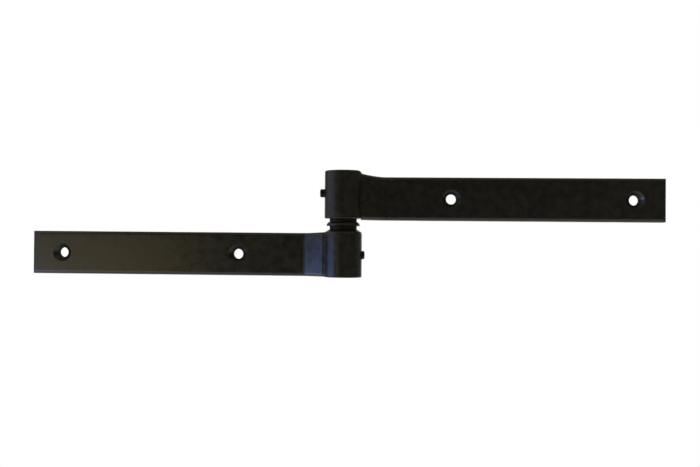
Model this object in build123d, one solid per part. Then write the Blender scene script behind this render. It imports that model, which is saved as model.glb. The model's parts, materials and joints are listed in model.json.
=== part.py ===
from build123d import *
import os
from math import radians, sqrt, tan

# A shutter hinge: two long cranked straps, each forged in one with its short barrel, on one vertical pin.
# The lower leaf runs to -X and the upper leaf to +X, as with the hinge opened flat.
# Origin: on the pin axis, at mid-height of the two barrels.
# Axes: +Z up along the pin, +X along the straps, -Y to the front, where the screw heads sit.
# All sizes are in millimetres.

# Straps: flat bar, flush at the back with the barrel, cranked forward to the middle of the barrel.
strap_width = 25.0
strap_thickness = 6.0
strap_reach = 182.5
end_corner_radius = 1.0
front_edge_radius = 2.0

# Crank, with the short land between its front ridge and the barrel.
crank_angle = 35.4
crank_land = 1.28
crank_valley_radius = 4.0
crank_ridge_radius = 2.0
crank_heel_radius = 5.0

# Screw holes: the first from the pin axis, the last from the strap's end.
first_hole = 61.5
last_hole_margin = 17.5
hole_diameter = 5.8
countersink_diameter = 10.6
countersink_angle = 90.0

# Barrels, and how each strap blends into its own.
barrel_diameter = 21.5
barrel_length = 27.15
rim_chamfer = 0.4
bevel_width = 2.2
bevel_drop = 1.4
bevel_toe_width = 0.4
bevel_toe_drop = 1.1
shoulder_radius = 2.5
upper_strap_drop = 2.85
upper_blend_rise = 1.3
lower_strap_drop = 2.0
lower_blend_rise = 0.5
blend_lead = 2.5
root_depth = 4.0
root_fillet = 0.8

# Hinge pin.
pin_diameter = 12.0
pin_recess = 0.5
pin_chamfer = 0.4
pin_clearance = 0.05

# Flanged bushes, and the thrust washer that runs between their flanges.
bush_outer_diameter = 14.0
bush_depth = 9.0
bush_relief = 0.5
flange_diameter = 15.5
flange_thickness = 2.0
washer_diameter = 19.0
washer_thickness = 2.2
washer_cone_width = 1.0
washer_cone_height = 1.4
washer_clearance = 0.15

# Dog-point set screws, one in each barrel, on the side away from its strap.
screw_diameter = 5.0
screw_length = 8.0
screw_chamfer = 0.6
dog_diameter = 3.5
dog_length = 2.5
socket_across_flats = 2.5
socket_depth = 2.6
screw_offset = 0.85
upper_screw_stand = 2.5
lower_screw_stand = 1.5
groove_clearance = 0.25
tip_clearance = 0.15
seat_clearance = 0.05

# Places worked out from the sizes above.
barrel_radius = barrel_diameter / 2
half_gap = flange_thickness + washer_thickness / 2
half_height = half_gap + barrel_length
back_plane = barrel_radius
front_plane = back_plane - strap_thickness
root_back = strap_thickness / 2
root_front = -strap_thickness / 2
bore_radius = pin_diameter / 2 + pin_clearance
screw_height = half_gap + barrel_length / 2 + screw_offset
upper_strap_top = half_height - upper_strap_drop
lower_strap_top = -half_gap - lower_strap_drop
upper_screw_tip = barrel_radius + upper_screw_stand - screw_length
lower_screw_tip = barrel_radius + lower_screw_stand - screw_length
root = barrel_radius - root_depth
crank_end = sqrt(barrel_radius**2 - root_front**2) + crank_land
crank_start = crank_end + (front_plane - root_front) / tan(radians(crank_angle))
last_hole = strap_reach - last_hole_margin

# Two places nearer than this are the same place.
tolerance = 1e-3


def round_disc(radius, low, high):
    """An upright cylinder on the pin axis between two heights."""
    return Pos(0, 0, low) * Cylinder(radius, high - low, align=(Align.CENTER, Align.CENTER, Align.MIN))


def cross_rod(radius, start, end, height):
    """A level cylinder along X, from start to end, at a height on the pin axis."""
    rod = Cylinder(radius, end - start, align=(Align.CENTER, Align.CENTER, Align.MIN))
    return Pos(start, 0, height) * Rot(0, 90, 0) * rod


def rim(solid, height, radius):
    """The circular edges of a solid that lie at one height with one radius."""
    return [
        edge
        for edge in solid.edges().filter_by(GeomType.CIRCLE)
        if abs(edge.arc_center.Z - height) < tolerance
        and abs(edge.bounding_box().size.Z) < tolerance
        and abs(edge.radius - radius) < tolerance
    ]


def strap_plan():
    """The strap and its barrel seen from above, with the crank between them and the seam rounded."""
    shift = strap_thickness * tan(radians(crank_angle / 2))
    ridge = (crank_end, root_front)
    valley = (crank_start, front_plane)
    heel = (crank_start - shift, back_plane)
    hollow = (crank_end - shift, root_back)
    outline = Polyline(
        (0, root_front),
        ridge,
        valley,
        (strap_reach, front_plane),
        (strap_reach, back_plane),
        heel,
        hollow,
        (0, root_back),
        close=True,
    )
    plan = make_face(outline) + Circle(barrel_radius)
    bends = ((ridge, crank_ridge_radius), (valley, crank_valley_radius), (heel, crank_heel_radius))
    for place, radius in bends:
        corner = plan.vertices().sort_by_distance((place[0], place[1], 0))[0]
        plan = fillet(corner, radius)
    corners = plan.vertices()
    seam = [corner for corner in corners if abs(corner.center().length - barrel_radius) < tolerance]
    return fillet(seam, root_fillet)


def strap_front(top, rise):
    """The strap seen from the front, with a square end. Its top edge rises towards the barrel."""
    bottom = top - strap_width
    blend_start = crank_start + blend_lead
    reach = blend_start - barrel_radius
    blend_radius = (reach**2 + rise**2) / (2 * rise)
    root_top = top + blend_radius - sqrt(blend_radius**2 - (blend_start - root) ** 2)
    outline = Curve() + [
        Polyline(
            (root, root_top),
            (root, bottom),
            (strap_reach, bottom),
            (strap_reach, top),
            (blend_start, top),
        ),
        TangentArc((blend_start, top), (root, root_top), tangent=(-1, 0)),
    ]
    return make_face(Plane.XZ * outline)


def front_border(solid):
    """The edges round a strap's front, without its hidden root."""
    faces = [
        face
        for face in solid.faces()
        if abs(face.normal_at().Z) < tolerance and face.normal_at().Y < -tolerance
    ]
    edges = [edge for face in faces for edge in face.edges()]
    return [
        edge
        for edge in edges
        if sum(edge.is_same(other) for other in edges) == 1 and edge.center().X > root + tolerance
    ]


def strap(top, rise):
    """A cranked strap towards +X: front edges rounded, back edges square, end corners eased."""
    low = top - strap_width
    plan = extrude(Pos(0, 0, low) * strap_plan(), strap_width + barrel_length, dir=(0, 0, 1))
    front = strap_front(top, rise)
    bar = (plan & extrude(front, barrel_diameter, both=True)).solid()
    bar = fillet(front_border(bar), front_edge_radius)
    eased = fillet(front.vertices().group_by(Axis.X)[-1], end_corner_radius)
    return bar & extrude(eased, barrel_diameter, both=True)


def screw_holes(middle):
    """The countersunk holes of one strap, as the solids to cut."""
    countersink_depth = (countersink_diameter - hole_diameter) / 2 / tan(radians(countersink_angle / 2))
    drill = Cylinder(hole_diameter / 2, strap_thickness, align=(Align.CENTER, Align.CENTER, Align.MIN))
    sink = Cone(
        countersink_diameter / 2,
        hole_diameter / 2,
        countersink_depth,
        align=(Align.CENTER, Align.CENTER, Align.MIN),
    )
    hole = Rot(-90, 0, 0) * (drill + sink)
    return [Pos(place, front_plane, middle) * hole for place in (first_hole, last_hole)]


def bores(foot, head):
    """The pin's bore and the bush's seat, as the solids to cut. The bush sits at the foot."""
    upward = 1 if head > foot else -1
    seat_end = foot + upward * (bush_depth + bush_relief)
    return [
        round_disc(bore_radius, min(foot, head), max(foot, head)),
        round_disc(bush_outer_diameter / 2, min(foot, seat_end), max(foot, seat_end)),
    ]


def finish_leaf(barrel, bar, foot, head, strap_middle, screw_at):
    """Joins a barrel and its strap, faces the barrel's foot and makes the holes."""
    leaf = barrel + bar - round_disc(barrel_radius, -half_gap, half_gap)
    for cut in bores(foot, head) + screw_holes(strap_middle):
        leaf -= cut
    return leaf - cross_rod(screw_diameter / 2, -barrel_diameter, 0, screw_at)


def upper_leaf():
    """The upper leaf. Its barrel stands proud of the strap, with a rounded shoulder above it."""
    foot = half_gap
    head = half_height
    barrel = round_disc(barrel_radius, foot, head)
    barrel = chamfer(rim(barrel, foot, barrel_radius) + rim(barrel, head, barrel_radius), rim_chamfer)
    corner = Box(
        shoulder_radius,
        barrel_diameter,
        shoulder_radius,
        align=(Align.MIN, Align.CENTER, Align.MIN),
    )
    rounding = Rot(90, 0, 0) * Cylinder(shoulder_radius, barrel_diameter)
    shoulder = Pos(barrel_radius - shoulder_radius, 0, head - shoulder_radius)
    barrel -= shoulder * (corner - rounding)
    bar = strap(upper_strap_top, upper_blend_rise)
    middle = upper_strap_top - strap_width / 2
    return finish_leaf(barrel, bar, foot, head, middle, screw_height)


def bevelled_barrel(foot, head):
    """The lower barrel: a wide bevel round its top, with a steeper toe, and a small chamfer below."""
    bevel_radius = barrel_radius - bevel_toe_width
    outline = Polyline(
        (0, foot),
        (bevel_radius - bevel_width, foot),
        (bevel_radius, foot - bevel_drop),
        (barrel_radius, foot - bevel_drop - bevel_toe_drop),
        (barrel_radius, head + rim_chamfer),
        (barrel_radius - rim_chamfer, head),
        (0, head),
        close=True,
    )
    return revolve(make_face(Plane.XZ * outline), Axis.Z)


def lower_leaf():
    """The lower leaf, built towards +X and mirrored to run to -X."""
    foot = -half_gap
    head = -half_height
    barrel = bevelled_barrel(foot, head)
    bar = strap(lower_strap_top, lower_blend_rise)
    middle = lower_strap_top - strap_width / 2
    leaf = finish_leaf(barrel, bar, foot, head, middle, -screw_height)
    return mirror(leaf, about=Plane.YZ)


def hinge_pin():
    """The pin, with the groove that the upper screw runs in and the seat that the lower screw locks."""
    end = half_height - pin_recess
    radius = pin_diameter / 2
    pin = round_disc(radius, -end, end)
    pin = chamfer(rim(pin, end, radius) + rim(pin, -end, radius), pin_chamfer)
    half_groove = dog_diameter / 2 + groove_clearance
    low = screw_height - half_groove
    high = screw_height + half_groove
    pin -= round_disc(radius, low, high) - round_disc(upper_screw_tip - tip_clearance, low, high)
    seat_radius = dog_diameter / 2 + seat_clearance
    return pin - cross_rod(seat_radius, lower_screw_tip, barrel_radius, -screw_height)


def flanged_bush():
    """A bush with its flange below, standing on the washer's upper face."""
    low = washer_thickness / 2
    high = half_gap + bush_depth
    bush = round_disc(flange_diameter / 2, low, half_gap)
    bush += round_disc(bush_outer_diameter / 2, half_gap, high)
    return bush - round_disc(bore_radius, low, high)


def thrust_washer():
    """The wide washer between the bushes, coned on its upper side to a thin lower rim."""
    high = washer_thickness / 2
    radius = washer_diameter / 2
    rim_top = high - washer_cone_height
    section = make_face(
        Plane.XZ
        * Polyline(
            (pin_diameter / 2 + washer_clearance, -high),
            (radius, -high),
            (radius, rim_top),
            (radius - washer_cone_width, high),
            (pin_diameter / 2 + washer_clearance, high),
            close=True,
        )
    )
    return revolve(section, Axis.Z)


def set_screw(tip, height):
    """A set screw along +X: a plain dog at its inner tip, a chamfer and a hex socket at its outer end."""
    shank_start = tip + dog_length
    outer = tip + screw_length
    shank = cross_rod(screw_diameter / 2, shank_start, outer, height)
    shank = chamfer(shank.edges().filter_by(GeomType.CIRCLE).sort_by(Axis.X)[-1], screw_chamfer)
    dog = cross_rod(dog_diameter / 2, tip, shank_start, height)
    hexagon = RegularPolygon(socket_across_flats / 2, 6, major_radius=False)
    socket = Pos(outer - socket_depth, 0, height) * Rot(0, 90, 0) * extrude(hexagon, socket_depth)
    return shank + dog - socket


def parts():
    """Every piece of the hinge, by name, where it sits with the hinge opened flat."""
    bush = flanged_bush()
    return {
        "lower_leaf": lower_leaf(),
        "upper_leaf": upper_leaf(),
        "hinge_pin": hinge_pin(),
        "lower_bush": mirror(bush, about=Plane.XY),
        "upper_bush": bush,
        "thrust_washer": thrust_washer(),
        "lower_set_screw": set_screw(lower_screw_tip, -screw_height),
        "upper_set_screw": mirror(set_screw(upper_screw_tip, screw_height), about=Plane.YZ),
    }


os.makedirs("parts", exist_ok=True)
for name, piece in parts().items():
    export_step(piece, f"parts/{name}.step")
    print(name, len(piece.solids()), round(piece.volume, 1))
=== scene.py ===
"""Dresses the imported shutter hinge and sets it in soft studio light.

The hinge has two coated leaves, two turned bushes, a coned washer, a pin and two threaded set screws.
Every size is in metres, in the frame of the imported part: +Z up along the pin, +X along the upper leaf, -Y to
the front. Each sub-assembly is a class that holds its sizes and builds its own mesh.
"""

from __future__ import annotations

import json
import logging
import math
from abc import ABC, abstractmethod
from collections.abc import Callable, Sequence
from dataclasses import dataclass
from enum import Enum

import bmesh
import bpy
from mathutils import Matrix, Vector

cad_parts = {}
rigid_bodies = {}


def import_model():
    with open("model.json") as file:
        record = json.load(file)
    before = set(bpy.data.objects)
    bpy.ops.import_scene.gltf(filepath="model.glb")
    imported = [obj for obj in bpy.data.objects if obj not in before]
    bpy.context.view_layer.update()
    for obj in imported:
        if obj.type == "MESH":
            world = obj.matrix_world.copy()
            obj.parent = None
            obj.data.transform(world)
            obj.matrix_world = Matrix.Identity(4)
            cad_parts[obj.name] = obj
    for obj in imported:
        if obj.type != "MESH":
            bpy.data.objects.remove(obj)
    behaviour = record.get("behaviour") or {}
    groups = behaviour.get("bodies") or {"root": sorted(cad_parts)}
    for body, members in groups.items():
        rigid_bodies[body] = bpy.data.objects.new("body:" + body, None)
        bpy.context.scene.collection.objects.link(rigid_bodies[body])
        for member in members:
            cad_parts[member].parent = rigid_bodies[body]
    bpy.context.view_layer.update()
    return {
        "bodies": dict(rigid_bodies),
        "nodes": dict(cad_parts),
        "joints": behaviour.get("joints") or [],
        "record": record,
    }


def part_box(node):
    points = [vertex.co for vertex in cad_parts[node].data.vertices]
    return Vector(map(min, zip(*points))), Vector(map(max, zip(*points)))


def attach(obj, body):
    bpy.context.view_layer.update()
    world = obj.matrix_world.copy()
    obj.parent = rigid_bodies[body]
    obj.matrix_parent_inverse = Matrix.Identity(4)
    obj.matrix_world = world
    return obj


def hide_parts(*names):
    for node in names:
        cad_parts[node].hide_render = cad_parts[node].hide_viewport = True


log = logging.getLogger("shutter_hinge")

MM = 0.001

# Points closer than this become one.
MERGE_DISTANCE = 0.002 * MM
# A point this close to a cutting plane counts as on it.
CUT_TOLERANCE = 0.0001 * MM
# Faces that meet at more than this keep a sharp edge in the shading.
SMOOTH_ANGLE = math.radians(36)
# The weighted normals' neutral setting, at which a face counts by its area.
NEUTRAL_WEIGHT = 50
NOISE_ROUGHNESS = 0.55
# The share of half a pitch that is flat at the thread's crest, and again at its root.
THREAD_FLAT = 1 / 6

# The point attributes: how free a point is to move, and whether it is on a hole's wall.
RELIEF_ATTRIBUTE = "relief"
BORE_ATTRIBUTE = "bore"

RISING = (0.0, 1.0)
FALLING = (1.0, 0.0)
WHITE = (1, 1, 1, 1)

Socket = bpy.types.NodeSocket
NodeValue = float | int | Sequence[float] | Socket | bpy.types.Material
NodeInputs = dict[str | int, NodeValue]
Colour = tuple[float, float, float, float]
Place = tuple[float, float, float]
Point = tuple[float, float]
Span = tuple[float, float]


class Body(Enum):
    """The two bodies of the hinge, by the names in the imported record."""

    LOWER = "lower"
    UPPER = "upper"


class Slot(Enum):
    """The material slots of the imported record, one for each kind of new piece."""

    LEAF = "leaf_coating"
    BUSH = "bush_plastic"
    WASHER = "washer_coating"
    SCREW = "screw_steel"


class Way(Enum):
    """The way that a piece points along its axis, as a sign."""

    PLUS = 1
    MINUS = -1


class Mix(Enum):
    """What a mix node mixes, by Blender's own names."""

    COLOUR = "RGBA"
    NUMBER = "FLOAT"


class NodeWriter:
    """Adds nodes to a node tree and joins their sockets."""

    def __init__(self, tree: bpy.types.NodeTree) -> None:
        """Keeps the tree to write to.

        Args:
            tree: A shader, world or geometry node tree.
        """
        self.tree = tree

    def add(self, kind: str, inputs: NodeInputs | None = None, **settings: object) -> bpy.types.Node:
        """Adds one node.

        Args:
            kind: The node's type name.
            inputs: A value or a socket for each input, by name or number.
            **settings: The node's own properties.

        Returns:
            The new node.
        """
        node = self.tree.nodes.new(kind)
        for name, value in settings.items():
            setattr(node, name, value)
        for key, value in (inputs or {}).items():
            if isinstance(value, Socket):
                self.tree.links.new(value, node.inputs[key])
            else:
                node.inputs[key].default_value = value
        return node

    def math(self, operation: str, *values: NodeValue) -> Socket:
        """Adds a math node.

        Args:
            operation: The operation's name.
            *values: Its operands, as numbers or sockets.

        Returns:
            The result's socket.
        """
        return self.add("ShaderNodeMath", dict(enumerate(values)), operation=operation).outputs[0]

    def remap(self, value: Socket, source: Span, target: Span = RISING) -> Socket:
        """Maps a value smoothly from one range to another.

        Args:
            value: The value to map.
            source: The range that it comes from.
            target: The range that it goes to.

        Returns:
            The mapped value's socket.
        """
        inputs = {
            "Value": value,
            "From Min": source[0],
            "From Max": source[1],
            "To Min": target[0],
            "To Max": target[1],
        }
        return self.add("ShaderNodeMapRange", inputs, interpolation_type="SMOOTHSTEP").outputs["Result"]

    def mix(self, kind: Mix, factor: Socket, first: NodeValue, second: NodeValue) -> Socket:
        """Mixes two values.

        Args:
            kind: Whether they are colours or numbers.
            factor: The share of the second value.
            first: The value where the factor is 0.
            second: The value where the factor is 1.

        Returns:
            The mixed value's socket.
        """
        inputs = {"Factor": factor, "A": first, "B": second}
        return self.add("ShaderNodeMix", inputs, data_type=kind.value).outputs["Result"]

    def noise(self, place: Socket, patch: float, detail: float, seed: float) -> Socket:
        """Adds a noise pattern of a real size.

        Args:
            place: The coordinates, in metres.
            patch: The size of one patch, in metres.
            detail: How many finer layers it has.
            seed: Which of its variants.

        Returns:
            The pattern's socket, from 0 to 1.
        """
        inputs = {
            "Vector": place,
            "W": seed,
            "Scale": 1 / patch,
            "Detail": detail,
            "Roughness": NOISE_ROUGHNESS,
        }
        return self.add("ShaderNodeTexNoise", inputs, noise_dimensions="4D").outputs[0]

    def bump(self, pattern: Socket, height: float, coarser: Socket | None = None) -> Socket:
        """Tilts the shading by a pattern of heights.

        Args:
            pattern: The pattern, from 0 to 1.
            height: The pattern's height, in metres.
            coarser: The normal from a coarser bump that it is added to.

        Returns:
            The tilted normal's socket.
        """
        inputs = {"Strength": 1.0, "Distance": height, "Height": pattern}
        if coarser is not None:
            inputs["Normal"] = coarser
        return self.add("ShaderNodeBump", inputs).outputs[0]


def shader_writer(name: str) -> tuple[bpy.types.Material, NodeWriter, Socket]:
    """Starts an empty material.

    Args:
        name: The material's name.

    Returns:
        The material, the writer of its tree and the socket of its object coordinates.
    """
    material = bpy.data.materials.new(name)
    material.use_nodes = True
    material.node_tree.nodes.clear()
    write = NodeWriter(material.node_tree)
    place = write.add("ShaderNodeTexCoord").outputs["Object"]
    return material, write, place


def close_shader(write: NodeWriter, inputs: NodeInputs) -> None:
    """Ends a material with one surface shader.

    Args:
        write: The writer of the material's tree.
        inputs: The surface shader's inputs.
    """
    surface = write.add("ShaderNodeBsdfPrincipled", inputs)
    write.add("ShaderNodeOutputMaterial", {"Surface": surface.outputs[0]})


@dataclass(frozen=True)
class CoatingFinish:
    """Satin black coating: brown in clouds, with the peel of a baked powder, and rough inside the holes.

    The mottle and the clouds add up to the pattern that goes from dark to brown over brown_range. The mottle
    alone goes from smoothest to roughest over rough_range.
    """

    name: str = "satin_black_coating"
    dark: Colour = (0.0046, 0.0041, 0.0026, 1)
    brown: Colour = (0.0094, 0.0069, 0.0036, 1)
    brown_range: Span = (0.72, 1.3)
    mottle_size: float = 5.0 * MM
    cloud_size: float = 22.0 * MM
    peel_size: float = 3.4 * MM
    peel_height: float = 0.016 * MM
    grain_size: float = 0.9 * MM
    grain_height: float = 0.004 * MM
    smoothest: float = 0.25
    roughest: float = 0.34
    rough_range: Span = (0.3, 0.7)
    bore_roughness: float = 0.95
    seed: float = 3.0

    def material(self) -> bpy.types.Material:
        """Builds the material.

        Returns:
            The finished material.
        """
        material, write, place = shader_writer(self.name)
        mottle = write.noise(place, self.mottle_size, detail=2.0, seed=self.seed)
        cloud = write.noise(place, self.cloud_size, detail=2.0, seed=self.seed + 1)
        peel = write.noise(place, self.peel_size, detail=1.0, seed=self.seed + 2)
        grain = write.noise(place, self.grain_size, detail=1.0, seed=self.seed + 3)
        brownness = write.remap(write.math("ADD", mottle, cloud), self.brown_range)
        open_roughness = write.remap(mottle, self.rough_range, (self.smoothest, self.roughest))
        bore = write.add("ShaderNodeAttribute", attribute_name=BORE_ATTRIBUTE).outputs["Fac"]
        close_shader(
            write,
            {
                "Base Color": write.mix(Mix.COLOUR, brownness, self.dark, self.brown),
                "Roughness": write.mix(Mix.NUMBER, bore, open_roughness, self.bore_roughness),
                "Normal": write.bump(grain, self.grain_height, write.bump(peel, self.peel_height)),
            },
        )
        return material


@dataclass(frozen=True)
class TurnedFinish:
    """A turned surface: fine rings round the pin's axis, rubbed paler in patches, on plastic or steel."""

    name: str
    dark: Colour
    rubbed: Colour
    metallic: float
    smoothest: float
    roughest: float
    specular: float = 0.5
    ring_pitch: float = 0.22 * MM
    ring_height: float = 0.004 * MM
    patch_size: float = 2.2 * MM
    wear_range: Span = (0.5, 0.75)
    rough_range: Span = (0.3, 0.7)
    seed: float = 11.0

    def rings(self, write: NodeWriter, place: Socket) -> Socket:
        """Makes the rings, which follow both upright and level faces.

        Args:
            write: The writer of the material's tree.
            place: The coordinates, in metres.

        Returns:
            The pattern's socket, from 0 to 1.
        """
        apart = write.add("ShaderNodeSeparateXYZ", {"Vector": place}).outputs
        squares = [write.math("POWER", apart[letter], 2.0) for letter in "XY"]
        radius = write.math("SQRT", write.math("ADD", *squares))
        feed = write.math("DIVIDE", write.math("ADD", apart["Z"], radius), self.ring_pitch)
        inputs = {"W": feed, "Scale": 1.0, "Detail": 2.0}
        return write.add("ShaderNodeTexNoise", inputs, noise_dimensions="1D").outputs[0]

    def material(self) -> bpy.types.Material:
        """Builds the material.

        Returns:
            The finished material.
        """
        material, write, place = shader_writer(self.name)
        patch = write.noise(place, self.patch_size, detail=3.0, seed=self.seed)
        wear = write.remap(patch, self.wear_range)
        close_shader(
            write,
            {
                "Base Color": write.mix(Mix.COLOUR, wear, self.dark, self.rubbed),
                "Metallic": self.metallic,
                "Roughness": write.remap(patch, self.rough_range, (self.smoothest, self.roughest)),
                "Specular IOR Level": self.specular,
                "Normal": write.bump(self.rings(write, place), self.ring_height),
            },
        )
        return material


@dataclass(frozen=True)
class BlackenedSteelFinish:
    """Blackened screw steel, with the black rubbed thin in patches."""

    name: str = "blackened_screw_steel"
    dark: Colour = (0.012, 0.012, 0.014, 1)
    rubbed: Colour = (0.055, 0.055, 0.06, 1)
    metallic: float = 0.7
    smoothest: float = 0.32
    roughest: float = 0.5
    patch_size: float = 0.9 * MM
    grain_size: float = 0.25 * MM
    grain_height: float = 0.003 * MM
    wear_range: Span = (0.52, 0.8)
    rough_range: Span = (0.3, 0.7)
    seed: float = 21.0

    def material(self) -> bpy.types.Material:
        """Builds the material.

        Returns:
            The finished material.
        """
        material, write, place = shader_writer(self.name)
        patch = write.noise(place, self.patch_size, detail=3.0, seed=self.seed)
        grain = write.noise(place, self.grain_size, detail=1.0, seed=self.seed + 1)
        wear = write.remap(patch, self.wear_range)
        close_shader(
            write,
            {
                "Base Color": write.mix(Mix.COLOUR, wear, self.dark, self.rubbed),
                "Metallic": self.metallic,
                "Roughness": write.remap(patch, self.rough_range, (self.smoothest, self.roughest)),
                "Normal": write.bump(grain, self.grain_height),
            },
        )
        return material


COATING = CoatingFinish()
BUSH_PLASTIC = TurnedFinish(
    name="turned_black_plastic",
    dark=(0.003, 0.003, 0.0031, 1),
    rubbed=(0.007, 0.007, 0.0072, 1),
    metallic=0.0,
    smoothest=0.42,
    roughest=0.58,
    specular=0.16,
)
PIN_STEEL = TurnedFinish(
    name="turned_pin_steel",
    dark=(0.03, 0.03, 0.032, 1),
    rubbed=(0.09, 0.088, 0.085, 1),
    metallic=0.85,
    smoothest=0.3,
    roughest=0.45,
)
SCREW_STEEL = BlackenedSteelFinish()


def new_piece(name: str, mesh: bpy.types.Mesh) -> bpy.types.Object:
    """Puts a mesh into the scene as an object at the origin.

    Args:
        name: The object's name.
        mesh: Its mesh, with its place in its vertices.

    Returns:
        The new object.
    """
    piece = bpy.data.objects.new(name, mesh)
    bpy.context.scene.collection.objects.link(piece)
    return piece


def mesh_from(bm: bmesh.types.BMesh, name: str) -> bpy.types.Mesh:
    """Turns an edit mesh into a plain mesh and frees it.

    Args:
        bm: The edit mesh.
        name: The mesh's name.

    Returns:
        The plain mesh.
    """
    mesh = bpy.data.meshes.new(name)
    bm.to_mesh(mesh)
    bm.free()
    return mesh


def smooth(mesh: bpy.types.Mesh) -> None:
    """Shades a mesh smoothly, except over its sharp edges.

    Args:
        mesh: The mesh to shade.
    """
    mesh.shade_smooth()
    mesh.set_sharp_from_angle(angle=SMOOTH_ANGLE)


def keep_result(piece: bpy.types.Object, modifier: bpy.types.Modifier) -> None:
    """Keeps a modifier's result as the piece's plain mesh and removes the modifier.

    Args:
        piece: The piece.
        modifier: Its only modifier.
    """
    graph = bpy.context.evaluated_depsgraph_get()
    mesh = bpy.data.meshes.new_from_object(piece.evaluated_get(graph), depsgraph=graph)
    piece.modifiers.remove(modifier)
    piece.data = mesh


def weigh_normals(piece: bpy.types.Object) -> None:
    """Lets the large faces beside an eased edge keep their own direction.

    Args:
        piece: The piece, already shaded smoothly.
    """
    modifier = piece.modifiers.new("weighted_normals", "WEIGHTED_NORMAL")
    modifier.mode = "FACE_AREA"
    modifier.weight = NEUTRAL_WEIGHT
    modifier.keep_sharp = True
    keep_result(piece, modifier)


def seat(piece: bpy.types.Object, body: Body, slot: Slot, *nodes: str) -> bpy.types.Object:
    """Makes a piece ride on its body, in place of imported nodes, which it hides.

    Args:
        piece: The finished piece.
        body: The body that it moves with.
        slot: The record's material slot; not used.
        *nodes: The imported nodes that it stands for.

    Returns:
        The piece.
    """
    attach(piece, body.value)
    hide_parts(*nodes)
    log.info("%s rides on %s and has %d faces", piece.name, body.value, len(piece.data.polygons))
    return piece


def set_inputs(modifier: bpy.types.NodesModifier, values: dict[str, NodeValue]) -> None:
    """Sets a geometry-node modifier's inputs by the names that its tree gives them.

    Args:
        modifier: The modifier, with its tree.
        values: A value for each named input.
    """
    for item in modifier.node_group.interface.items_tree:
        if item.item_type == "SOCKET" and item.in_out == "INPUT" and item.name in values:
            modifier[item.identifier] = values[item.name]


def run_tree(piece: bpy.types.Object, tree: bpy.types.NodeTree, values: dict[str, NodeValue]) -> None:
    """Runs a geometry-node tree on a piece and keeps its result as the piece's plain mesh.

    Args:
        piece: The piece whose mesh goes in.
        tree: The tree to run.
        values: A value for each named input of the tree.
    """
    modifier = piece.modifiers.new(tree.name, "NODES")
    modifier.node_group = tree
    set_inputs(modifier, values)
    keep_result(piece, modifier)


def start_tree(name: str, sockets: dict[str, str]) -> tuple[NodeWriter, bpy.types.Node]:
    """Starts a geometry-node tree with named inputs.

    Args:
        name: The tree's name.
        sockets: The kind of each input, by its name.

    Returns:
        The tree's writer and its input node.
    """
    tree = bpy.data.node_groups.new(name, "GeometryNodeTree")
    tree.interface.new_socket("Geometry", in_out="OUTPUT", socket_type="NodeSocketGeometry")
    for label, kind in sockets.items():
        tree.interface.new_socket(label, in_out="INPUT", socket_type=f"NodeSocket{kind}")
    write = NodeWriter(tree)
    return write, write.add("NodeGroupInput")


def end_tree(write: NodeWriter, geometry: Socket, material: Socket) -> bpy.types.NodeTree:
    """Ends a geometry-node tree with real geometry that has its material.

    Args:
        write: The tree's writer.
        geometry: The geometry so far.
        material: The socket of the material.

    Returns:
        The finished tree.
    """
    real = write.add("GeometryNodeRealizeInstances", {"Geometry": geometry})
    dressed = write.add("GeometryNodeSetMaterial", {"Geometry": real.outputs[0], "Material": material})
    write.add("NodeGroupOutput", {"Geometry": dressed.outputs[0]})
    return write.tree


def relief_tree() -> bpy.types.NodeTree:
    """Builds the tree that gives a coated forging its faint waves and the peel of its coat.

    Returns:
        The tree, with a named input for each size.
    """
    sockets = {
        "Geometry": "Geometry",
        "Wave Size": "Float",
        "Wave Height": "Float",
        "Peel Size": "Float",
        "Peel Height": "Float",
        "Seed": "Float",
        "Material": "Material",
    }
    write, given = start_tree("coating_relief", sockets)
    sizes = given.outputs
    place = write.add("GeometryNodeInputPosition").outputs[0]
    normal = write.add("GeometryNodeInputNormal").outputs[0]
    weight = write.add("GeometryNodeInputNamedAttribute", {"Name": RELIEF_ATTRIBUTE}, data_type="FLOAT")
    shift: NodeValue = 0.0
    for name in ("Wave", "Peel"):
        scale = write.math("DIVIDE", 1.0, sizes[f"{name} Size"])
        inputs = {"Vector": place, "W": sizes["Seed"], "Scale": scale, "Detail": 1.0}
        pattern = write.add("ShaderNodeTexNoise", inputs, noise_dimensions="4D").outputs[0]
        inward = write.math("SUBTRACT", pattern, 1.0)
        shift = write.math("ADD", shift, write.math("MULTIPLY", inward, sizes[f"{name} Height"]))
    inputs = {0: normal, "Scale": write.math("MULTIPLY", shift, weight.outputs[0])}
    offset = write.add("ShaderNodeVectorMath", inputs, operation="SCALE").outputs[0]
    moved = write.add("GeometryNodeSetPosition", {"Geometry": sizes["Geometry"], "Offset": offset})
    return end_tree(write, moved.outputs[0], sizes["Material"])


def thread_cut(write: NodeWriter, along: Socket, turn: Socket, sizes: bpy.types.NodeOutputs) -> Socket:
    """Works out how deep a right-hand thread cuts at each point of a shank.

    Args:
        write: The tree's writer.
        along: The point's place along the shank, in metres.
        turn: The point's place round the shank, from 0 to 1.
        sizes: The tree's named inputs.

    Returns:
        The depth's socket, in metres.
    """
    lead = write.math("SUBTRACT", write.math("DIVIDE", along, sizes["Pitch"]), turn)
    doubled = write.math("MULTIPLY", write.math("FRACT", lead), 2.0)
    ramp = write.math("ABSOLUTE", write.math("SUBTRACT", doubled, 1.0))
    slope = 1 / (1 - 2 * THREAD_FLAT)
    steep = write.math("MULTIPLY_ADD", ramp, slope, -slope * THREAD_FLAT)
    flank = write.math("MINIMUM", write.math("MAXIMUM", steep, 0.0), 1.0)
    return write.math("MULTIPLY", sizes["Depth"], flank)


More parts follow.
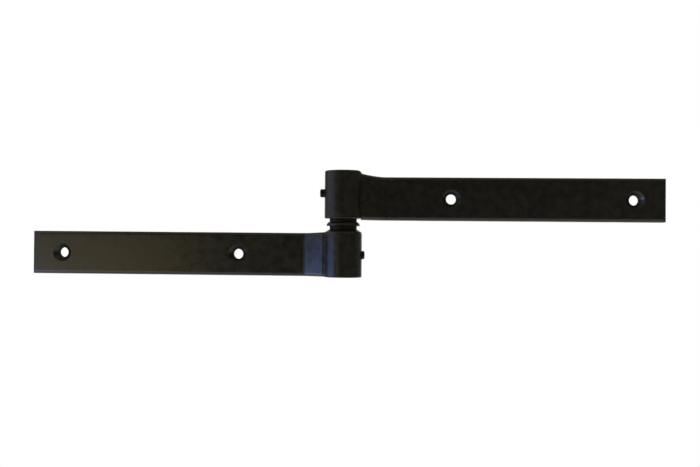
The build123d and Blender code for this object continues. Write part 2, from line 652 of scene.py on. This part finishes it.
def thread_tree() -> bpy.types.NodeTree:
    """Builds the tree that makes an open tube with a right-hand thread round +X, chamfered at both ends.

    Returns:
        The tree, with a named input for each size.
    """
    sockets = {
        "Radius": "Float",
        "Depth": "Float",
        "Pitch": "Float",
        "Start": "Float",
        "Length": "Float",
        "Chamfer": "Float",
        "Segments": "Int",
        "Rings": "Int",
        "Material": "Material",
    }
    write, given = start_tree("threaded_shank", sockets)
    sizes = given.outputs
    columns = write.math("ADD", sizes["Segments"], 1.0)
    rows = write.math("ADD", sizes["Rings"], 1.0)
    inputs = {"Size X": 1.0, "Size Y": 1.0, "Vertices X": columns, "Vertices Y": rows}
    grid = write.add("GeometryNodeMeshGrid", inputs).outputs["Mesh"]
    place = write.add("GeometryNodeInputPosition").outputs[0]
    apart = write.add("ShaderNodeSeparateXYZ", {"Vector": place}).outputs
    turn = write.math("ADD", apart["X"], 0.5)
    along = write.math("MULTIPLY", write.math("ADD", apart["Y"], 0.5), sizes["Length"])
    threaded = write.math("SUBTRACT", sizes["Radius"], thread_cut(write, along, turn, sizes))
    nearest_end = write.math("MINIMUM", along, write.math("SUBTRACT", sizes["Length"], along))
    taper = write.math("MAXIMUM", write.math("SUBTRACT", sizes["Chamfer"], nearest_end), 0.0)
    radius = write.math("MINIMUM", threaded, write.math("SUBTRACT", sizes["Radius"], taper))
    angle = write.math("MULTIPLY", turn, math.tau)
    rolled_place = {
        "X": write.math("ADD", along, sizes["Start"]),
        "Y": write.math("MULTIPLY", radius, write.math("COSINE", angle)),
        "Z": write.math("MULTIPLY", radius, write.math("SINE", angle)),
    }
    inputs = {"Geometry": grid, "Position": write.add("ShaderNodeCombineXYZ", rolled_place).outputs[0]}
    rolled = write.add("GeometryNodeSetPosition", inputs)
    inputs = {"Geometry": rolled.outputs[0], "Distance": MERGE_DISTANCE}
    joined = write.add("GeometryNodeMergeByDistance", inputs)
    return end_tree(write, joined.outputs[0], sizes["Material"])


def add_rings(bm: bmesh.types.BMesh, rings: Sequence[Sequence[Vector]], close_ends: bool) -> None:
    """Joins rings of points into a band of faces.

    Args:
        bm: The edit mesh to add to.
        rings: The rings in order, with equal numbers of points. A ring of one point closes the band there.
        close_ends: Whether the last ring joins the first.
    """
    made = [[bm.verts.new(point) for point in ring] for ring in rings]
    pairs = list(zip(made, made[1:]))
    if close_ends:
        pairs.append((made[-1], made[0]))
    for first, second in pairs:
        count = max(len(first), len(second))
        for index in range(count):
            after = (index + 1) % count
            corners = [first[index % len(first)], first[after % len(first)]]
            corners += [second[after % len(second)], second[index % len(second)]]
            bm.faces.new(dict.fromkeys(corners))


def broken_corners(section: Sequence[Point], width: float) -> list[Point]:
    """Cuts each corner of a section with a small flat.

    Args:
        section: The section's points.
        width: How far from its corner each cut begins.

    Returns:
        The new section's points, two for each corner.
    """
    points = [Vector(point) for point in section]
    broken = []
    for index, point in enumerate(points):
        for other in (points[index - 1], points[(index + 1) % len(points)]):
            broken.append(tuple(point + (other - point).normalized() * width))
    return broken


@dataclass
class CoatedLeaf:
    """One leaf: its packed form with the sharp edges eased, in small faces that carry the coat's relief.

    Attributes:
        node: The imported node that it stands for.
        body: The body that it rides on.
        mount: The mount that gives its screw holes.
        seed: The variant of its relief.
        cell: The size of the small faces.
        flat_angle: Faces that meet at less than this become one before the edges are eased.
        sharp_angle: Convex edges sharper than this are eased.
        edge_radius: The radius of an eased edge.
        edge_steps: The number of faces across it.
        edge_roundness: Its profile, where 0.5 is round.
        wave_size: The length of the forging's waves.
        wave_height: How far the waves reach into the surface.
        peel_size: The length of the coat's peel.
        peel_height: How far the peel reaches into the surface.
        fit_radius: Nearer to the axis than this, nothing is moved, because the bush fits there.
        seat_height: Nearer to mid-height than this, nothing is moved, because the flange seats there.
        fade: The distance over which the relief then sets in.
        wall_margin: How far outside a hole a point still counts as its wall.
    """

    node: str
    body: Body
    mount: str
    seed: float
    cell: float = 1.0 * MM
    flat_angle: float = math.radians(0.5)
    sharp_angle: float = math.radians(38)
    edge_radius: float = 0.35 * MM
    edge_steps: int = 3
    edge_roundness: float = 0.5
    wave_size: float = 14.0 * MM
    wave_height: float = 0.08 * MM
    peel_size: float = 3.0 * MM
    peel_height: float = 0.012 * MM
    fit_radius: float = 7.2 * MM
    seat_height: float = 3.1 * MM
    fade: float = 1.0 * MM
    wall_margin: float = 0.1 * MM

    def freedom(self, place: Vector) -> float:
        """Says how far the relief may move a point: not at all where the bush and its flange seat.

        Args:
            place: The point.

        Returns:
            A weight from 0 to 1.
        """
        from_bush = (math.hypot(place.x, place.y) - self.fit_radius) / self.fade
        from_flange = (abs(place.z) - self.seat_height) / self.fade
        return max(0.0, min(1.0, from_bush, from_flange))

    def hole_axes(self, mounts: Sequence[dict]) -> tuple[list[Point], float]:
        """Reads the screw holes of the leaf from its mount.

        Args:
            mounts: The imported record's mounts.

        Returns:
            Each hole's place, as x and z, and the holes' radius.
        """
        mount = next(mount for mount in mounts if mount["name"] == self.mount)
        middle, _, height = mount["pos_m"]
        half = mount["dims"]["spacing_x_mm"] * MM / 2
        return [(middle - half, height), (middle + half, height)], mount["dims"]["hole_r_mm"] * MM

    def eased(self, node: bpy.types.Object) -> bmesh.types.BMesh:
        """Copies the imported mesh, merges it and eases its sharp edges.

        Args:
            node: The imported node.

        Returns:
            The edit mesh.
        """
        bm = bmesh.new()
        bm.from_mesh(node.data)
        bmesh.ops.remove_doubles(bm, verts=bm.verts, dist=MERGE_DISTANCE)
        bmesh.ops.dissolve_limit(bm, angle_limit=self.flat_angle, verts=bm.verts, edges=bm.edges)
        sharp = [edge for edge in bm.edges if edge.is_convex and edge.calc_face_angle() > self.sharp_angle]
        bmesh.ops.bevel(
            bm,
            geom=sharp,
            offset=self.edge_radius,
            offset_type="OFFSET",
            segments=self.edge_steps,
            profile=self.edge_roundness,
            affect="EDGES",
            clamp_overlap=True,
        )
        return bm

    def cut_into_cells(self, bm: bmesh.types.BMesh) -> None:
        """Cuts the mesh into cells along all three axes.

        Args:
            bm: The edit mesh.
        """
        lows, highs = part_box(self.node)
        for axis in range(3):
            count = math.ceil((highs[axis] - lows[axis]) / self.cell)
            direction = Vector([float(axis == other) for other in range(3)])
            for index in range(1, count):
                point = direction * (lows[axis] + index * (highs[axis] - lows[axis]) / count)
                geometry = [*bm.verts, *bm.edges, *bm.faces]
                bmesh.ops.bisect_plane(
                    bm, geom=geometry, dist=CUT_TOLERANCE, plane_co=point, plane_no=direction
                )

    def mark_points(self, bm: bmesh.types.BMesh, mounts: Sequence[dict]) -> None:
        """Writes to each point how free it is to move and whether it is on a hole's wall.

        Args:
            bm: The edit mesh.
            mounts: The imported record's mounts.
        """
        relief = bm.verts.layers.float.new(RELIEF_ATTRIBUTE)
        bore = bm.verts.layers.float.new(BORE_ATTRIBUTE)
        axes, hole_radius = self.hole_axes(mounts)
        for vert in bm.verts:
            vert[relief] = self.freedom(vert.co)
            nearest = min(math.hypot(vert.co.x - x, vert.co.z - z) for x, z in axes)
            vert[bore] = float(nearest < hole_radius + self.wall_margin)

    def build(self, frame: dict, tree: bpy.types.NodeTree, coat: bpy.types.Material) -> bpy.types.Object:
        """Builds the leaf.

        Args:
            frame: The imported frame.
            tree: The relief tree.
            coat: The coating.

        Returns:
            The finished piece.
        """
        bm = self.eased(frame["nodes"][self.node])
        self.cut_into_cells(bm)
        self.mark_points(bm, frame["record"]["mounts"])
        piece = new_piece(f"{self.node}_coated", mesh_from(bm, self.node))
        values = {
            "Wave Size": self.wave_size,
            "Wave Height": self.wave_height,
            "Peel Size": self.peel_size,
            "Peel Height": self.peel_height,
            "Seed": self.seed,
            "Material": coat,
        }
        run_tree(piece, tree, values)
        smooth(piece.data)
        weigh_normals(piece)
        return seat(piece, self.body, Slot.LEAF, self.node)


@dataclass(kw_only=True)
class TurnedRing(ABC):
    """A turned ring round the pin, with its corners just broken. Each kind of ring has its own section."""

    node: str
    body: Body
    slot: Slot
    bore_radius: float
    corner: float = 0.12 * MM
    segments: int = 96

    @abstractmethod
    def section(self) -> list[Point]:
        """Gives the ring's section, as radius and height."""

    def build(self, material: bpy.types.Material) -> bpy.types.Object:
        """Builds the ring.

        Args:
            material: Its finish.

        Returns:
            The finished piece.
        """
        angles = [math.tau * index / self.segments for index in range(self.segments)]
        rings = []
        for radius, height in broken_corners(self.section(), self.corner):
            rings.append([Vector((radius * math.cos(a), radius * math.sin(a), height)) for a in angles])
        bm = bmesh.new()
        add_rings(bm, rings, close_ends=True)
        bmesh.ops.recalc_face_normals(bm, faces=bm.faces)
        mesh = mesh_from(bm, self.node)
        mesh.materials.append(material)
        smooth(mesh)
        return seat(new_piece(f"{self.node}_turned", mesh), self.body, self.slot, self.node)


@dataclass(kw_only=True)
class FlangedBush(TurnedRing):
    """A plastic bush: its sleeve fits in a barrel, and its flange seats on the barrel's end."""

    way: Way
    slot: Slot = Slot.BUSH
    bore_radius: float = 6.05 * MM
    sleeve_radius: float = 7.0 * MM
    flange_thickness: float = 2.0 * MM

    def section(self) -> list[Point]:
        """Gives the bush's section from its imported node's box.

        Returns:
            The section's points, as radius and height.
        """
        lows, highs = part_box(self.node)
        flange_radius = highs.x
        foot, head = (lows.z, highs.z) if self.way is Way.PLUS else (highs.z, lows.z)
        step = foot + self.way.value * self.flange_thickness
        return [
            (self.bore_radius, foot),
            (flange_radius, foot),
            (flange_radius, step),
            (self.sleeve_radius, step),
            (self.sleeve_radius, head),
            (self.bore_radius, head),
        ]


@dataclass(kw_only=True)
class ConedWasher(TurnedRing):
    """The thrust washer between the two flanges, coned on its upper side."""

    slot: Slot = Slot.WASHER
    bore_radius: float = 6.15 * MM
    cone_width: float = 1.0 * MM
    cone_height: float = 1.4 * MM

    def section(self) -> list[Point]:
        """Gives the washer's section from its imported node's box.

        Returns:
            The section's points, as radius and height.
        """
        lows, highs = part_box(self.node)
        radius = highs.x
        return [
            (self.bore_radius, lows.z),
            (radius, lows.z),
            (radius, highs.z - self.cone_height),
            (radius - self.cone_width, highs.z),
            (self.bore_radius, highs.z),
        ]


@dataclass
class SetScrew:
    """A dog-point set screw with a cut thread and a hexagon socket.

    Attributes:
        node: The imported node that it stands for.
        body: The body that it rides on.
        way: The way along X from its tip to its socket.
        radius: The thread's outer radius.
        pitch: The distance from one turn to the next.
        thread_depth: The depth of the cut.
        chamfer: The lead-in at both ends of the thread.
        dog_radius: The radius of the plain tip.
        dog_length: The length of the plain tip.
        dog_corner: The chamfer at the end of the plain tip.
        socket_flats: The socket's width across its flats.
        socket_depth: The depth of the flats.
        socket_drill: The radius of the drilled cone at the socket's bottom.
        socket_cone: The depth of that cone.
        mouth_radius: The radius of the socket's chamfered mouth.
        mouth_depth: The depth of the mouth's chamfer.
        segments: The number of points round the screw.
        rings_in_pitch: The number of rings of points in one pitch.
    """

    node: str
    body: Body
    way: Way
    radius: float = 2.5 * MM
    pitch: float = 0.8 * MM
    thread_depth: float = 0.28 * MM
    chamfer: float = 0.6 * MM
    dog_radius: float = 1.75 * MM
    dog_length: float = 2.5 * MM
    dog_corner: float = 0.25 * MM
    socket_flats: float = 2.5 * MM
    socket_depth: float = 2.6 * MM
    socket_drill: float = 1.2 * MM
    socket_cone: float = 0.55 * MM
    mouth_radius: float = 1.5 * MM
    mouth_depth: float = 0.12 * MM
    segments: int = 48
    rings_in_pitch: int = 12

    def ring(self, along: float, radius: Callable[[float], float]) -> list[Vector]:
        """Makes one ring of points round +X.

        Args:
            along: The ring's place along the axis.
            radius: The radius at each angle.

        Returns:
            The ring's points.
        """
        angles = [math.tau * index / self.segments for index in range(self.segments)]
        return [Vector((along, radius(a) * math.cos(a), radius(a) * math.sin(a))) for a in angles]

    def hexagon(self, angle: float) -> float:
        """Gives the socket's radius at an angle, with one corner straight up."""
        sixth = math.tau / 6
        return self.socket_flats / 2 / math.cos((angle - math.tau / 4) % sixth - sixth / 2)

    def ends(self, length: float) -> bmesh.types.BMesh:
        """Builds the dog, the end face and the socket, with the screw's tip at the origin.

        Args:
            length: The screw's whole length.

        Returns:
            The edit mesh, open where the thread goes.
        """
        root = self.radius - self.chamfer
        drill_end = length - self.socket_depth
        dog = [
            [Vector((0, 0, 0))],
            self.ring(0, lambda a: self.dog_radius - self.dog_corner),
            self.ring(self.dog_corner, lambda a: self.dog_radius),
            self.ring(self.dog_length, lambda a: self.dog_radius),
            self.ring(self.dog_length, lambda a: root),
        ]
        head = [
            self.ring(length, lambda a: root),
            self.ring(length, lambda a: self.mouth_radius),
            self.ring(length - self.mouth_depth, self.hexagon),
            self.ring(drill_end, self.hexagon),
            self.ring(drill_end, lambda a: self.socket_drill),
            [Vector((drill_end - self.socket_cone, 0, 0))],
        ]
        bm = bmesh.new()
        add_rings(bm, dog, close_ends=False)
        add_rings(bm, head, close_ends=False)
        return bm

    def thread_values(self, shank: float, steel: bpy.types.Material) -> dict[str, NodeValue]:
        """Gives the inputs of the thread tree.

        Args:
            shank: The length of the threaded shank.
            steel: The screw's finish.

        Returns:
            A value for each named input.
        """
        return {
            "Radius": self.radius,
            "Depth": self.thread_depth,
            "Pitch": self.pitch,
            "Start": self.dog_length,
            "Length": shank,
            "Chamfer": self.chamfer,
            "Segments": self.segments,
            "Rings": round(shank / self.pitch * self.rings_in_pitch),
            "Material": steel,
        }

    def placing(self, lows: Vector, highs: Vector) -> Matrix:
        """Works out the move that takes the screw from the origin to its barrel.

        Args:
            lows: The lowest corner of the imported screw.
            highs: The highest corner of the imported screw.

        Returns:
            The move, as a matrix.
        """
        tip = lows.x if self.way is Way.PLUS else highs.x
        half_turn = 0.0 if self.way is Way.PLUS else math.pi
        middle = (lows.z + highs.z) / 2
        return Matrix.Translation((tip, 0, middle)) @ Matrix.Rotation(half_turn, 4, "Z")

    def build(self, tree: bpy.types.NodeTree, steel: bpy.types.Material) -> bpy.types.Object:
        """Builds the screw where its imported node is.

        Args:
            tree: The thread tree.
            steel: The screw's finish.

        Returns:
            The finished piece.
        """
        lows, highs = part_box(self.node)
        length = highs.x - lows.x
        piece = new_piece(f"{self.node}_threaded", bpy.data.meshes.new(self.node))
        run_tree(piece, tree, self.thread_values(length - self.dog_length, steel))
        bm = self.ends(length)
        bm.from_mesh(piece.data)
        bmesh.ops.remove_doubles(bm, verts=bm.verts, dist=MERGE_DISTANCE)
        bmesh.ops.recalc_face_normals(bm, faces=bm.faces)
        bm.transform(self.placing(lows, highs))
        for face in bm.faces:
            face.material_index = 0
        piece.data = mesh_from(bm, self.node)
        piece.data.materials.append(steel)
        smooth(piece.data)
        return seat(piece, self.body, Slot.SCREW, self.node)


@dataclass
class HingePin:
    """The pin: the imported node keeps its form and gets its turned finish."""

    node: str = "hinge_pin"

    def dress(self, nodes: dict[str, bpy.types.Object], steel: bpy.types.Material) -> None:
        """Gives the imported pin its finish.

        Args:
            nodes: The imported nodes, by name.
            steel: The finish.
        """
        for place in nodes[self.node].material_slots:
            place.material = steel
        log.info("%s keeps its packed form", self.node)


@dataclass
class Lamp:
    """A soft rectangular lamp, which shows in reflections only."""

    name: str
    place: Place
    target: Place
    width: float
    height: float
    radiance: tuple[float, float, float]
    spread: float = 180.0

    def build(self) -> None:
        """Builds the lamp. At its full spread of 180 degrees it has the given radiance all over."""
        brightest = max(self.radiance)
        data = bpy.data.lights.new(self.name, "AREA")
        data.shape = "RECTANGLE"
        data.size = self.width
        data.size_y = self.height
        data.spread = math.radians(self.spread)
        data.color = [value / brightest for value in self.radiance]
        data.energy = brightest * math.pi * self.width * self.height
        lamp = bpy.data.objects.new(self.name, data)
        bpy.context.scene.collection.objects.link(lamp)
        lamp.location = self.place
        lamp.rotation_euler = (Vector(self.place) - Vector(self.target)).to_track_quat("Z", "Y").to_euler()
        lamp.visible_camera = False
        log.info("%s is lit", self.name)


@dataclass
class Studio:
    """The white studio: the room round the hinge, a pale floor and three lamps.

    Each span is the part of one axis of a ray's direction over which the room changes from one colour to
    the next.
    """

    fill: Colour = (0.75, 0.75, 0.77, 1)
    room: Colour = (0.078, 0.064, 0.046, 1)
    camera_side: Colour = (0.006, 0.009, 0.004, 1)
    flank: Colour = (0.17, 0.16, 0.135, 1)
    ceiling: Colour = (0.34, 0.30, 0.24, 1)
    ground: Colour = (1.0, 0.96, 0.82, 1)
    behind_span: Span = (0.75, 1.0)
    flank_span: Span = (-0.15, 0.3)
    ceiling_span: Span = (0.2, 0.8)
    ground_span: Span = (-0.4, -0.06)
    front_span: Span = (-0.9, -0.6)
    left_span: Span = (-0.45, -0.2)
    right_span: Span = (0.05, 0.16)
    floor_drop: float = 0.3
    floor_radius: float = 0.5
    floor_segments: int = 64
    floor_colour: Colour = (0.8, 0.8, 0.8, 1)
    floor_lift: float = 0.45
    floor_reflection: Colour = (0.85, 0.83, 0.76, 1)

    def reflected_room(self, write: NodeWriter, apart: bpy.types.NodeOutputs) -> Socket:
        """Paints the room that reflections show: dim in front, darkest beside the camera, pale below.

        Args:
            write: The writer of the world's tree.
            apart: The ray's direction, as its three parts.

        Returns:
            The socket of the room's colour.
        """
        beside = write.remap(apart["Y"], self.flank_span)
        above = write.remap(apart["Z"], self.ceiling_span)
        below = write.remap(apart["Z"], self.ground_span, FALLING)
        in_front = write.remap(apart["Y"], self.front_span, FALLING)
        from_left = write.remap(apart["X"], self.left_span)
        to_right = write.remap(apart["X"], self.right_span, FALLING)
        dim = write.math("MULTIPLY", write.math("MULTIPLY", from_left, to_right), in_front)
        front = write.mix(Mix.COLOUR, dim, self.room, self.camera_side)
        level = write.mix(Mix.COLOUR, beside, front, self.flank)
        upper = write.mix(Mix.COLOUR, above, level, self.ceiling)
        return write.mix(Mix.COLOUR, below, upper, self.ground)

    def background(self) -> None:
        """Makes the world: white to the camera, plain light for the hinge, a room for its reflections."""
        world = bpy.data.worlds.new("studio")
        world.use_nodes = True
        world.node_tree.nodes.clear()
        write = NodeWriter(world.node_tree)
        path = write.add("ShaderNodeLightPath").outputs
        direction = write.add("ShaderNodeTexCoord").outputs["Generated"]
        apart = write.add("ShaderNodeSeparateXYZ", {"Vector": direction}).outputs
        behind = write.remap(apart["Y"], self.behind_span)
        seen = write.math("MAXIMUM", path["Is Camera Ray"], path["Is Transmission Ray"])
        white = write.math("MAXIMUM", seen, write.math("MULTIPLY", path["Is Glossy Ray"], behind))
        lit = write.mix(Mix.COLOUR, path["Is Glossy Ray"], self.fill, self.reflected_room(write, apart))
        plain = write.add("ShaderNodeBackground", {"Color": lit, "Strength": 1.0})
        bright = write.add("ShaderNodeBackground", {"Color": WHITE, "Strength": 1.0})
        both = write.add("ShaderNodeMixShader", {0: white, 1: plain.outputs[0], 2: bright.outputs[0]})
        write.add("ShaderNodeOutputWorld", {"Surface": both.outputs[0]})
        bpy.context.scene.world = world

    def floor_material(self) -> bpy.types.Material:
        """Makes the floor's finish: it looks white, keeps the hinge's shadow and is clear from below.

        Returns:
            The finished material.
        """
        material, write, _ = shader_writer("pale_floor")
        path = write.add("ShaderNodeLightPath").outputs
        seen = write.math("MAXIMUM", path["Is Camera Ray"], path["Is Transmission Ray"])
        lift = write.math("MULTIPLY", seen, self.floor_lift)
        pale = write.add("ShaderNodeBsdfDiffuse", {"Color": self.floor_colour})
        white = write.add("ShaderNodeEmission", {"Color": WHITE, "Strength": lift})
        both = write.add("ShaderNodeAddShader", {0: pale.outputs[0], 1: white.outputs[0]})
        mirrored = write.add("ShaderNodeEmission", {"Color": self.floor_reflection, "Strength": 1.0})
        inputs = {0: path["Is Glossy Ray"], 1: both.outputs[0], 2: mirrored.outputs[0]}
        shown = write.add("ShaderNodeMixShader", inputs)
        clear = write.add("ShaderNodeBsdfTransparent")
        from_below = write.add("ShaderNodeNewGeometry").outputs["Backfacing"]
        inputs = {0: from_below, 1: shown.outputs[0], 2: clear.outputs[0]}
        one_way = write.add("ShaderNodeMixShader", inputs)
        write.add("ShaderNodeOutputMaterial", {"Surface": one_way.outputs[0]})
        return material

    def floor(self) -> None:
        """Makes the round pale floor, some way below the hinge."""
        bm = bmesh.new()
        bmesh.ops.create_circle(bm, cap_ends=True, radius=self.floor_radius, segments=self.floor_segments)
        bmesh.ops.translate(bm, verts=bm.verts, vec=(0, 0, -self.floor_drop))
        mesh = mesh_from(bm, "floor")
        mesh.materials.append(self.floor_material())
        new_piece("floor", mesh)

    def lamps(self) -> list[Lamp]:
        """Gives the lamps: a cool window low to the left, soft sky above it and a warm card in front.

        Returns:
            The lamps.
        """
        return [
            Lamp(
                name="cool_window",
                place=(-0.332, -0.086, -0.121),
                target=(0, 0, -0.01),
                width=0.30,
                height=0.16,
                radiance=(1.25, 2.1, 4.8),
            ),
            Lamp(
                name="cool_sky",
                place=(-0.325, -0.06, 0.14),
                target=(0, 0, 0.02),
                width=0.40,
                height=0.30,
                radiance=(0.44, 0.46, 0.51),
            ),
            Lamp(
                name="warm_card",
                place=(-0.285, -0.30, -0.095),
                target=(-0.163, 0, -0.02),
                width=0.21,
                height=0.20,
                radiance=(0.113, 0.09, 0.031),
                spread=40.0,
            ),
        ]

    def build(self) -> None:
        """Builds the background, the floor and the lamps."""
        self.background()
        self.floor()
        for lamp in self.lamps():
            lamp.build()


@dataclass
class PhotoCamera:
    """The camera, where the photograph was taken from.

    Its turns are in radians, and its lens and sensor in millimetres.
    """

    place: Place = (30.38 * MM, -494.43 * MM, -10.70 * MM)
    lens: float = 44.72
    sensor: float = 36.0
    nearest: float = 0.01
    furthest: float = 20.0
    yaw: float = 0.0535
    pitch: float = 0.0109
    roll: float = 0.0090

    def build(self) -> None:
        """Builds the camera and makes it the scene's own."""
        data = bpy.data.cameras.new("photo_camera")
        data.lens = self.lens
        data.sensor_width = self.sensor
        data.clip_start = self.nearest
        data.clip_end = self.furthest
        camera = bpy.data.objects.new("photo_camera", data)
        bpy.context.scene.collection.objects.link(camera)
        level = Matrix.Rotation(math.pi / 2, 4, "X")
        turn = Matrix.Rotation(self.yaw, 4, "Z") @ level @ Matrix.Rotation(self.pitch, 4, "X")
        camera.matrix_world = Matrix.Translation(self.place) @ turn @ Matrix.Rotation(self.roll, 4, "Z")
        bpy.context.scene.camera = camera


def dress_hinge(frame: dict) -> None:
    """Builds every piece of the hinge.
    """
    coat = COATING.material()
    plastic = BUSH_PLASTIC.material()
    screw_steel = SCREW_STEEL.material()
    relief = relief_tree()
    thread = thread_tree()
    CoatedLeaf("lower_leaf", Body.LOWER, "lower_leaf_screws", seed=5.0).build(frame, relief, coat)
    CoatedLeaf("upper_leaf", Body.UPPER, "upper_leaf_screws", seed=8.0).build(frame, relief, coat)
    FlangedBush(node="lower_bush", body=Body.LOWER, way=Way.MINUS).build(plastic)
    FlangedBush(node="upper_bush", body=Body.UPPER, way=Way.PLUS).build(plastic)
    ConedWasher(node="thrust_washer", body=Body.LOWER).build(coat)
    SetScrew("lower_set_screw", Body.LOWER, Way.PLUS).build(thread, screw_steel)
    SetScrew("upper_set_screw", Body.UPPER, Way.MINUS).build(thread, screw_steel)
    HingePin().dress(frame["nodes"], PIN_STEEL.material())


def main() -> None:
    """Loads the frame, dresses the hinge, lights it and sets up the camera."""
    logging.basicConfig(level=logging.INFO, format="%(name)s: %(message)s")
    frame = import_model()
    dress_hinge(frame)
    Studio().build()
    PhotoCamera().build()
    bpy.context.scene.view_settings.view_transform = "Standard"


if __name__ == "__main__":
    main()
